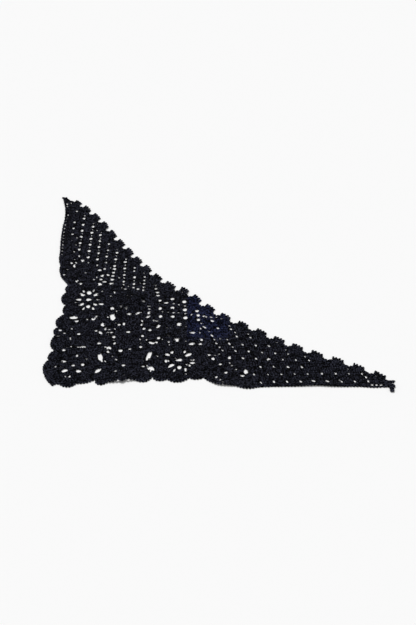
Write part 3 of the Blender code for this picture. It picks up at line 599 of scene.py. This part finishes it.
motifWork = {
    "petals": 8,
    "hub": 0.0052,
    "collar": 0.0130,
    "wheel": 0.0232,
    "petalShare": 0.94,    # share of its eighth that a petal fills at the head of a row
    "petalFoot": 0.90,     # and at its foot
    "petalWidth": 0.97,
    "petalCountAt": 0.6,   # how far up a row its stitches are counted
    "petalLeast": 3,
    "petalTries": (-0.25, 0, 0.25),  # where across a petal its reach is measured
    "roundWidth": 0.95,
    "roundCountAt": (0.45, 0.55),    # shares of the inner and the outer radius
    "reachFrom": 0.004,
    "reachMost": 0.09,
    "reachStep": 0.001,
    "centres": {"motif_corner": (0.0525, 0.0635), "motif_base_mid": (0.1460, 0.0642),
                "motif_base_far": (0.2500, 0.0805), "motif_side_low": (0.0575, 0.1615),
                "motif_inner": (0.1515, 0.1680), "motif_inner_right": (0.2480, 0.1655),
                "motif_side_high": (0.0710, 0.2735), "motif_inner_top": (0.1500, 0.2700),
                "half_motif_left": (0.0560, 0.3440), "half_motif_right": (0.3330, 0.0400)},
}


clothCut = {
    "thinner": 0.00090,  # off each face, so that the yarn stands well clear of it
    "join": 0.0015,      # how much wider the yarn pulls the spaces between two pieces
    "mesh": (0.0007, 0.0007),
    "slant": (0.0006, -0.0009),  # the right wing's spaces are drawn into slits, longer and narrower
    "slantWay": (0.7071, -0.7071),
    "motif": (0.0012, 0.0001),   # and those of a motif point to its hub
    "hubReach": 0.0095,
    "lobes": 3,                  # an opening is pulled out on as many sides
    "ragged": 0.13,              # by this share of its size
    "rough": 0.10,               # and each of its corners by up to this share, either way
    "sharpFrom": 35,             # degrees
}


def pullAt(piece, place, inwards):  # how far the edge of an opening is pulled from its place in the CAD model
    cut = clothCut
    along = Vector((0, 1))
    longer, wider = cut["mesh"]
    if piece["name"] == "mesh_right":
        along = Vector(cut["slantWay"])
        longer, wider = cut["slant"]
    if piece["name"] in motifWork["centres"]:
        along = place - cornerAt - Vector(motifWork["centres"][piece["name"]])
        longer, wider = cut["motif"] if along.length > cut["hubReach"] else (0.0, 0.0)
        along.normalize()
    across = Vector((-along.y, along.x))
    return along * (inwards.dot(along) * longer) + across * (inwards.dot(across) * wider)


def placeKey(place):
    return (round(place.x, reading["digits"]), round(place.y, reading["digits"]))


def layCloth(piece):
    cut = clothCut
    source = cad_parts[piece["name"]]
    cloth = bpy.data.objects.new("ground_" + piece["name"], source.data.copy())
    bpy.context.scene.collection.objects.link(cloth)
    makeActive(cloth)
    bpy.ops.object.mode_set(mode="EDIT")
    bpy.ops.mesh.select_all(action="SELECT")
    bpy.ops.mesh.remove_doubles(threshold=reading["merge"])
    bpy.ops.object.mode_set(mode="OBJECT")
    pulls = {}
    piece["pulled"] = []
    for loop in [piece["outline"]] + piece["openings"]:
        pulled = []
        middle = sum(loop, Vector((0, 0))) / len(loop)
        swing = random.uniform(0, 2 * math.pi)
        for before, place, after in zip(loop[-1:] + loop[:-1], loop, loop[1:] + loop[:1]):
            way = (after - before).normalized()
            inwards = Vector((-way.y, way.x))
            pull = pullAt(piece, place, inwards)
            if loop is piece["outline"]:
                pull = inwards * cut["join"] if facesSpace(piece, place, way) else Vector((0, 0))
            else:
                out = place - middle
                uneven = cut["ragged"] * math.cos(cut["lobes"] * math.atan2(out.y, out.x) + swing)
                pull += out * (uneven + cut["rough"] * random.uniform(-1, 1))
            pulls[placeKey(place)] = pull
            pulled.append(place + pull)
        if loop is not piece["outline"]:
            piece["pulled"].append(pulled)
    lowered = [-cut["thinner"] if v.normal.z > 0 else cut["thinner"] for v in cloth.data.vertices]
    for vertex, change in zip(cloth.data.vertices, lowered):
        pull = pulls.get(placeKey(vertex.co), (0, 0))
        vertex.co += Vector((*pull, change))
    piece["spaces"] = [space for space in spaces
                       if any(topAt(piece["solid"], *corner) is not None for corner in spaceLoop(*space))]
    cuts = [((*place, 0.0), (0, 0, tilt), (width, height, 1.0))
            for place, width, height, tilt in piece["spaces"]]
    cuts += [((*place, 0.0), (0, 0, math.atan2(way.y, way.x)), (*notch, 1.0))
             for place, way, notch in findNotches(piece)]
    if cuts:
        cutter = layCopies("cutter", spaceTree, *zip(*cuts))
        makeActive(cloth)
        modifier = cloth.modifiers.new("spaces", "BOOLEAN")
        modifier.operation = "DIFFERENCE"
        modifier.solver = "MANIFOLD"
        modifier.object = cutter
        bpy.ops.object.modifier_apply(modifier=modifier.name)
        bpy.data.objects.remove(cutter)
    # painted shade: the darker ground colour goes on the cloth under the stitches
    cloth.data.materials.clear()
    cloth.data.materials.append(groundShadeMaterial)
    cloth.data.shade_smooth()
    cloth.data.set_sharp_from_angle(angle=math.radians(cut["sharpFrom"]))
    mesh = bmesh.new()
    mesh.from_mesh(cloth.data)
    piece["ground"] = BVHTree.FromBMesh(mesh)
    mesh.free()
    return cloth


cloths = {node: layCloth(piece) for node, piece in pieces.items()}
bpy.data.objects.remove(spaceCutter)
print("cloth laid", sum(len(cloth.data.polygons) for cloth in cloths.values()))

# A stitch is its two ends, and how much its shape is stretched in length, width and thickness.

layingSizes = {
    "stitchPitch": 0.0048,   # along a row
    "rowHeight": 0.0113,
    "sideClear": 0.0013,     # of cloth to each side of a post
    "chainClear": 0.0008,    # and of a chain in a motif
    "spaceClear": 0.0004,
    "shortest": 0.0030,
    "samples": 11,
    "wander": 0.00035,
    "postWidths": (0.94, 1.06),
    "postThicknesses": (0.95, 1.12),
    "chainWidths": (0.95, 1.05),
    "chainThicknesses": (0.94, 1.08),
}


def onCloth(piece, x, y, side, clear):
    tree = piece["ground"]
    return (topAt(tree, x, y) is not None
            and topAt(tree, x + side.x * clear, y + side.y * clear) is not None
            and topAt(tree, x - side.x * clear, y - side.y * clear) is not None)


# As much of a post as lies on the cloth
def addPost(piece, stitches, start, end, width=1.0, shortest=layingSizes["shortest"]):
    size = layingSizes
    way = (end - start).normalized()
    side = Vector((-way.y, way.x))
    start = start + side * random.uniform(-1, 1) * size["wander"]
    end = end + side * random.uniform(-1, 1) * size["wander"]
    run = end - start
    count = size["samples"]
    good = [onCloth(piece, *(start + run * t), side, size["sideClear"]) for t in evenly(count)]
    longest = (0, -1)
    first = None
    for i, clear in enumerate(good + [False]):
        if clear and first is None:
            first = i
        if not clear and first is not None:
            if i - 1 - first > longest[1] - longest[0]:
                longest = (first, i - 1)
            first = None
    low = start + run * (longest[0] / (count - 1))
    high = start + run * (longest[1] / (count - 1))
    length = (high - low).length
    if longest[1] > longest[0] and length > shortest:
        stitches["post"].append((low, high, length / yarnShape["postLength"],
                                 width * random.uniform(*size["postWidths"]),
                                 random.uniform(*size["postThicknesses"])))


def addChain(stitches, middle, way, length, width=1.0, thickness=1.0):
    size = layingSizes
    half = way.normalized() * (length / 2)
    stitches["chain"].append((middle - half, middle + half, length / yarnShape["chainLength"],
                              width * random.uniform(*size["chainWidths"]),
                              thickness * random.uniform(*size["chainThicknesses"])))


def coversSpace(piece, place):  # yarn laid here would lie across a small space
    clear = layingSizes["spaceClear"]
    return any(abs(place.x - at.x) < width / 2 + clear and abs(place.y - at.y) < height / 2 + clear
               for at, width, height, tilt in piece["spaces"])


def inSpace(piece, place):  # another space runs into this one here, and there is nothing to edge
    return any(insideLoop(*place, spaceLoop(*space)) for space in piece["spaces"])


rimWork = {  # how far in from the edge, width and thickness
    "edge": (0.0024, 0.84, 0.92),
    "border": (0.0009, 0.45, 0.85),
    "join": (0.0028, 0.70, 0.62),
    "space": (0.0014, 0.70, 0.62),
    "overlap": 1.04,  # of each chain on the next
}


def addRim(piece, stitches, loop):  # a chain round an outline or an opening
    points, step = walkLoop(loop, yarnShape["chainLength"])
    for place, way in points:
        kind = "border" if "border" in piece["name"] else "edge"
        if loop is not piece["outline"]:
            kind = "space"
        elif facesSpace(piece, place, way):
            kind = "join"
        inset, width, thickness = rimWork[kind]
        centre = place + Vector((-way.y, way.x)) * inset
        if inSpace(piece, centre) or (kind != "space" and coversSpace(piece, centre)):
            continue
        if topAt(piece["solid"], *centre) is not None:
            addChain(stitches, centre, way, step * rimWork["overlap"], width, thickness)


seamWork = {"pitch": 0.0042, "length": 0.0040, "slant": 0.35, "width": 0.8, "thickness": 0.95}


def addSeam(piece, stitches):  # whip stitches over the seams, kept by the piece that comes first by name
    work = seamWork
    for place, way in walkLoop(piece["outline"], work["pitch"])[0]:
        neighbour = neighbourAt(piece, place)
        if neighbour and piece["name"] < neighbour and not coversSpace(piece, place):
            across = Vector((-way.y, way.x)) + way * work["slant"]
            addChain(stitches, place, across, work["length"], work["width"], work["thickness"])


def addBumps(piece, stitches):  # the tops of the last round, as small bumps on a free edge
    work = bumpWork
    if piece["name"] == "shell_edging":
        points = [(*corner, "shellPicotInset", "shellPicotWidth", "shellPicotLength")
                  for corner in freeCorners(piece, 1)]
    elif "border" in piece["name"]:
        points = [(*point, "borderInset", "borderWidth", "borderLength") for point in freeEdge(piece, 0.5)]
    else:
        points = [(*point, "inset", "width", "length") for point in freeEdge(piece, 0.5)]
    for place, way, inset, width, length in points:
        out = Vector((way.y, -way.x))
        root = place - out * work[inset]
        stitches["picot"].append((root, root + out * yarnShape["picotSize"],
                                  work[length] * random.uniform(*work["uneven"]),
                                  work[width] * random.uniform(*work["uneven"]),
                                  random.uniform(*work["thickness"])))


def reach(piece, centre, angle):  # how far the outline is from the hub in one direction
    way = Vector((math.cos(angle), math.sin(angle)))
    work = motifWork
    step = work["reachStep"]
    far = work["reachFrom"]
    while far < work["reachMost"] and insideLoop(*(centre + way * (far + step)), piece["outline"]):
        far += step
    return far


def workRound(piece, stitches, centre, inner, outer):
    work = motifWork
    innerShare, outerShare = work["roundCountAt"]
    around = 2 * math.pi * (innerShare * inner + outerShare * outer)
    count = round(around / layingSizes["stitchPitch"] / work["petals"]) * work["petals"]
    for i in range(count):
        angle = 2 * math.pi * (i + 0.5) / count
        way = Vector((math.cos(angle), math.sin(angle)))
        addPost(piece, stitches, centre + way * inner, centre + way * outer, work["roundWidth"])
        middle = centre + way * outer
        if onCloth(piece, *middle, way, layingSizes["chainClear"]):
            addChain(stitches, middle, Vector((-way.y, way.x)), 2 * math.pi * outer / count)


def workPetal(piece, stitches, centre, middleAngle):  # a fan of rows that ends on the outline
    work = motifWork
    span = 2 * math.pi / work["petals"]
    start = work["wheel"]
    farthest = max(reach(piece, centre, middleAngle + span * share) for share in work["petalTries"])
    rounds = max(1, round((farthest - start) / layingSizes["rowHeight"]))
    for row in range(rounds):
        middle = start + (farthest - start) * (row + work["petalCountAt"]) / rounds
        count = max(work["petalLeast"], round(span * middle / layingSizes["stitchPitch"]))
        for i in range(count):
            share = (i + 0.5) / count - 0.5
            ends = []
            for angle, step in ((middleAngle + span * share * work["petalFoot"], row),
                                (middleAngle + span * share * work["petalShare"], row + 1)):
                radius = start + (reach(piece, centre, angle) - start) * step / rounds
                ends.append(centre + Vector((math.cos(angle), math.sin(angle))) * radius)
            addPost(piece, stitches, *ends, work["petalWidth"])
            way = Vector((-math.sin(angle), math.cos(angle)))
            if row + 1 < rounds and onCloth(piece, *ends[1], way, layingSizes["chainClear"]):
                addChain(stitches, ends[1], way, span * radius / count * work["petalShare"])


def workMotif(piece, stitches):  # rounds from the hub out: collar, wheel, then the petals
    work = motifWork
    centre = cornerAt + Vector(work["centres"][piece["name"]])
    workRound(piece, stitches, centre, work["hub"], work["collar"])
    workRound(piece, stitches, centre, work["collar"], work["wheel"])
    for petal in range(work["petals"]):
        workPetal(piece, stitches, centre, 2 * math.pi * petal / work["petals"])


meshWork = {
    "rows": 36,               # more than fit, since only what lies on the cloth is worked
    "posts": 96,
    "chainClear": 0.0010,
    "leftPitch": 0.0094,      # the left wing's rows stand up the leg, two to a row of openings
    "leftStart": 0.0085,
    "leftLean": 0.030,
    "leftLeanFrom": 0.250,
    "leftFoot": 0.185,
    "rightPitch": 0.0113,     # the right wing's rows run along the leg
    "rightStart": 0.0035,
    "rightLean": 1.5,
    "rightLeanFrom": 0.060,
    "rightLeanMost": 0.090,
    "rightMiddle": 0.420,
    "rightFoot": 0.285,
}


def leftMesh(row, along):
    work = meshWork
    lean = work["leftLean"] * (along - work["leftLeanFrom"])
    return cornerAt + Vector((work["leftStart"] + work["leftPitch"] * row + lean, along))


def rightMesh(row, along):
    work = meshWork
    y = work["rightStart"] + work["rightPitch"] * row
    lean = min(work["rightLeanMost"], max(0.0, (y - work["rightLeanFrom"]) * work["rightLean"]))
    return cornerAt + Vector((along, y - lean * (along - work["rightMiddle"])))


def workMesh(piece, stitches, place, foot):  # rows of posts, each row half a stitch on from the last
    pitch = layingSizes["stitchPitch"]
    for row in range(meshWork["rows"]):
        for i in range(meshWork["posts"]):
            along = foot + pitch * (i + (0.5 if row % 2 else 0.0))
            end = place(row + 1, along)
            addPost(piece, stitches, place(row, along), end)
            way = (place(row + 1, along + pitch) - end).normalized()
            if onCloth(piece, *end, way, meshWork["chainClear"]):
                addChain(stitches, end, way, pitch)


edgingWork = {
    "foot": 0.0006,
    "baseRow": 0.0080,
    "lowestShell": 0.0055,
    "shallowest": 0.002,
    "deepest": 0.034,
    "step": 0.001,  # in finding how deep the edging is
}


def workEdging(piece, stitches):  # a row along the mesh, then the shells
    work = edgingWork
    outline = piece["outline"]
    points, step = walkLoop(outline, layingSizes["stitchPitch"])
    for place, way in points:
        if not neighbourAt(piece, place):
            continue
        inwards = Vector((-way.y, way.x))
        far = work["shallowest"]
        while far < work["deepest"] and insideLoop(*(place + inwards * (far + work["step"])), outline):
            far += work["step"]
        base = min(far, work["baseRow"])
        addPost(piece, stitches, place + inwards * work["foot"], place + inwards * base)
        if far - base > work["lowestShell"]:
            addChain(stitches, place + inwards * base, way, step)
            addPost(piece, stitches, place + inwards * base, place + inwards * far)


borderWork = {"foot": 0.0002, "top": 0.0038, "width": 0.8, "shortest": 0.0024}


def workBorder(piece, stitches):  # short stitches across the narrow border
    work = borderWork
    for place, way in walkLoop(piece["outline"], layingSizes["stitchPitch"])[0]:
        if neighbourAt(piece, place):
            inwards = Vector((-way.y, way.x))
            ends = [place + inwards * work[end] for end in ("foot", "top")]
            addPost(piece, stitches, *ends, work["width"], work["shortest"])


knotWork = {
    "lobes": ((0.6394, -0.0120, 1.45), (0.6434, 0.0003, 1.1), (0.6432, 0.0138, 0.8),  # x, y, size
              (0.6372, 0.0050, 1.1), (0.6388, -0.0050, 1.4), (0.6402, -0.0085, 1.3)),
    "turns": (0.3, 1.35, 2.4),
    "middle": 0.00116,  # of a loop, from its root
    "size": 1.25,
    "thickness": 1.15,
}


def workKnot(stitches):  # the end of the yarn, wound and knotted
    work = knotWork
    for x, y, size in work["lobes"]:
        for turn in work["turns"]:
            way = Vector((math.cos(turn), math.sin(turn)))
            scale = size * work["size"]
            root = cornerAt + Vector((x, y)) - way * work["middle"] * scale
            stitches["picot"].append((root, root + way * yarnShape["picotSize"], scale, scale,
                                      work["thickness"] * scale))


stitchShapes = {
    "post": (doubleCrochet, layingTree(doubleCrochet), "Y"),
    "chain": (chainStitch, layingTree(chainStitch), "X"),
    "picot": (picotLoop, layingTree(picotLoop), "Y"),
}


def layYarn(piece, stitches):  # every stitch of one piece of the scarf as one mesh
    parts = []
    solid = piece["solid"]
    for kind, (shape, tree, axis) in stitchShapes.items():
        places = []
        turns = []
        sizes = []
        for first, last, length, width, thickness in stitches[kind]:
            ends = []
            for end in (first, last):
                if topAt(solid, *end) is None:
                    end = first if topAt(solid, *first) is not None else (first + last) / 2
                under = undersideAt(solid, *end)
                ends.append((under, topAt(solid, *end) or under + yarnShape["cloth"]))
            foot = Vector((*first, ends[0][0]))
            way = (Vector((*last, ends[1][0])) - foot).normalized()
            side = Vector((way.y, -way.x, 0)).normalized()
            up = side.cross(way)
            columns = (side, way, up) if axis == "Y" else (way, -side, up)
            thick = thickness * (ends[0][1] - ends[0][0]) / yarnShape["cloth"]
            places.append(foot)
            turns.append(Matrix(columns).transposed().to_euler())
            sizes.append((width, length, thick) if axis == "Y" else (length, width, thick))
        if places:
            parts.append(layCopies(f"{kind}_{piece['name']}", tree, places, turns, sizes))
    deselectAll()
    for part in parts:
        part.select_set(True)
    bpy.context.view_layer.objects.active = parts[0]
    if len(parts) > 1:
        bpy.ops.object.join()
    yarn = bpy.context.active_object
    yarn.name = "stitches_" + piece["name"]
    yarn.data.materials.clear()
    yarn.data.materials.append(yarnMaterial)
    yarn.data.shade_smooth()
    return yarn


flatCuts = {  # least rectangle round each piece, and for the edging the length it was worked to
    "motif_corner": (0.104, 0.118),
    "motif_base_mid": (0.107, 0.121),
    "motif_base_far": (0.106, 0.125),
    "motif_side_low": (0.101, 0.115),
    "motif_inner": (0.107, 0.112),
    "motif_inner_right": (0.070, 0.100),
    "motif_side_high": (0.100, 0.113),
    "motif_inner_top": (0.083, 0.125),
    "half_motif_left": (0.078, 0.118),
    "half_motif_right": (0.083, 0.160),
    "mesh_left": (0.132, 0.505),
    "mesh_right": (0.138, 0.388),
    "shell_edging": (0.0215, 0.940),
    "tip_tail": (0.013, 0.033),
}
# A border is too narrow for a sheet of its own, so this table lists it with a motif
trims = {"motif_side_low": "border_left", "motif_base_mid": "border_right"}

total = 0
yarns = {}
for node, piece in pieces.items():
    stitches = {"post": [], "chain": [], "picot": []}
    if node in motifWork["centres"]:
        workMotif(piece, stitches)
        addBumps(piece, stitches)
    elif node == "mesh_left":
        workMesh(piece, stitches, leftMesh, meshWork["leftFoot"])
    elif node == "mesh_right":
        workMesh(piece, stitches, rightMesh, meshWork["rightFoot"])
    elif node == "shell_edging":
        workEdging(piece, stitches)
        addBumps(piece, stitches)
    elif node.startswith("border"):
        workBorder(piece, stitches)
        addBumps(piece, stitches)
    else:
        workKnot(stitches)
    addRim(piece, stitches, piece["outline"])
    addSeam(piece, stitches)
    for opening in piece["pulled"] + [spaceLoop(*space) for space in piece["spaces"]]:
        addRim(piece, stitches, opening)
    yarns[node] = layYarn(piece, stitches)
    triangles = sum(len(p.vertices) - 2 for p in yarns[node].data.polygons)
    total += triangles
    print(node, "posts", len(stitches["post"]), "chains", len(stitches["chain"]),
          "picots", len(stitches["picot"]), "triangles", triangles)
    for made in (cloths[node], yarns[node]):
        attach(made, "root")
    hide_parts(node)
for node, flat in flatCuts.items():
    along = [yarns[node]]
    if node in trims:
        along += [cloths[trims[node]], yarns[trims[node]]]
for shape, tree, axis in stitchShapes.values():
    bpy.data.objects.remove(shape)
print("stitch triangles", total)

# Floor, light and camera

studio = {
    "floorSize": 12.0,
    "floorColour": "#f4f4f4",
    "floorRoughness": 0.9,
    "floorSpecular": 0.1,
    "worldStrength": 0.45,
    "keyPower": 2.35,
    "keySpread": 22.0,  # degrees, for a soft shadow
    "keyFrom": (-0.45, 1.0, 1.5),
    "cameraPlace": (-0.0184, -3.1115, 2.2022),  # 36 degrees down on the scarf
    "cameraDown": 36.0,
    "lens": 111.9,
    "sensor": 36.0,
}

deselectAll()
bpy.ops.mesh.primitive_plane_add(size=studio["floorSize"], location=(0, 0, 0))
floor = bpy.context.active_object
floor.name = "floor"
paper = bpy.data.materials.new("matt_paper_white")  # even and dull, so that only the scarf is seen
paper.use_nodes = True
paperShader = paper.node_tree.nodes["Principled BSDF"]
paperShader.inputs["Base Color"].default_value = toLinear(studio["floorColour"])
paperShader.inputs["Roughness"].default_value = studio["floorRoughness"]
paperShader.inputs["Specular IOR Level"].default_value = studio["floorSpecular"]
floor.data.materials.append(paper)

world = bpy.data.worlds.new("soft_studio")
bpy.context.scene.world = world
world.use_nodes = True
world.node_tree.nodes["Background"].inputs["Color"].default_value = (1, 1, 1, 1)
world.node_tree.nodes["Background"].inputs["Strength"].default_value = studio["worldStrength"]

keyFrom = Vector(studio["keyFrom"])
bpy.ops.object.light_add(type="SUN", location=keyFrom)
key = bpy.context.active_object
key.name = "key_light"
key.data.energy = studio["keyPower"]
key.data.angle = math.radians(studio["keySpread"])
key.rotation_euler = (-keyFrom).to_track_quat("-Z", "Y").to_euler()

cameraData = bpy.data.cameras.new("camera")
cameraData.lens = studio["lens"]
cameraData.sensor_width = studio["sensor"]
camera = bpy.data.objects.new("camera", cameraData)
camera.location = studio["cameraPlace"]
camera.rotation_euler = (math.radians(90 - studio["cameraDown"]), 0, 0)
bpy.context.scene.collection.objects.link(camera)
bpy.context.scene.camera = camera
bpy.context.scene.view_settings.view_transform = "Standard"
print("studio set")
